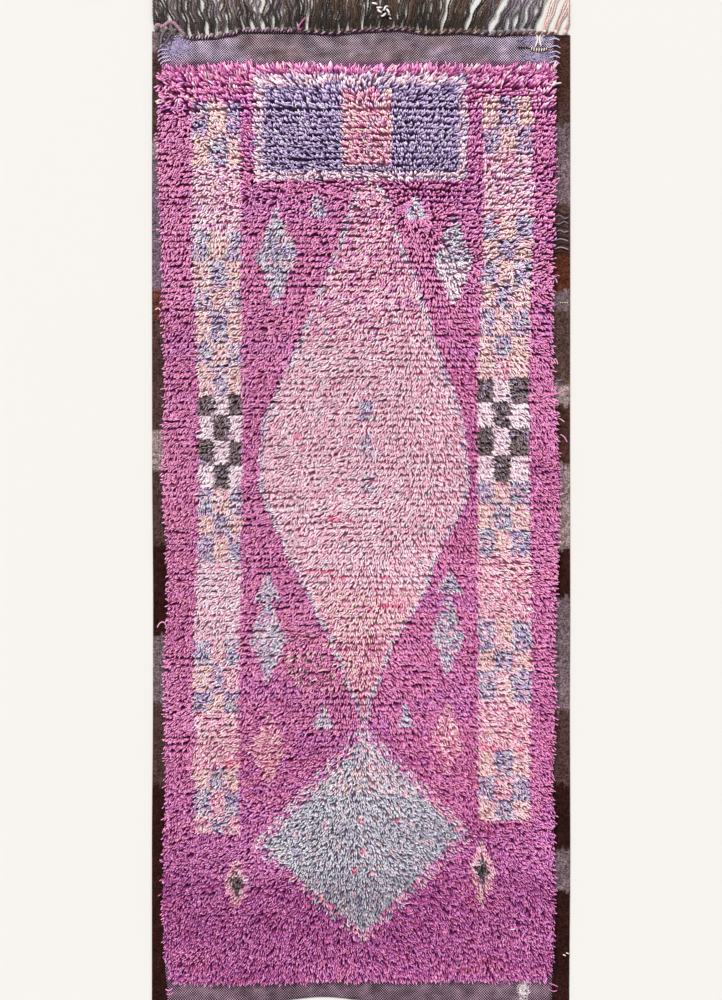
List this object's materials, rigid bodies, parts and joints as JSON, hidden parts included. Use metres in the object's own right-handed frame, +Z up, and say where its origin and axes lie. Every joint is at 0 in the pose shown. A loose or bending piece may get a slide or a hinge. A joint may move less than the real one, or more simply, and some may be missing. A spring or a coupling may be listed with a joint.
{
  "type": "hand-knotted wool rug with warp fringe",
  "caption": "Flat hand-knotted wool rug with a lumpy pile, bare woven end webs, ribbed goat-hair side bands and a warp fringe at one end, to lie on a floor.",
  "frame": {"origin": "centre of the rug's footprint, fringe included, at floor level", "axes": "+Y along the rug's length, towards its fringed end; +X across the rug, to the right when the fringed end is up; +Z up out of the pile"},
  "size_m": [1.045, 2.57, 0.0198],
  "materials": {
    "magenta_wool": "matte",
    "pink_wool": "matte",
    "hot_pink_wool": "matte",
    "lilac_wool": "matte",
    "blue_wool": "matte",
    "cream_wool": "matte",
    "white_wool": "matte",
    "brown_wool": "matte",
    "lilac_brown_weave": "matte",
    "dark_goat_hair": "matte",
    "grey_goat_hair": "matte",
    "rust_goat_hair": "matte",
    "fringe_yarn": "matte",
    "twined_yarn": "matte",
    "mending_yarn": "matte"
  },
  "bodies": {
    "root": {"ground_weave": "lilac_brown_weave", "side_band_left": "dark_goat_hair", "side_band_right": "grey_goat_hair", "pile_field": "magenta_wool", "warp_fringe": "fringe_yarn"}
  },
  "joints": []
}
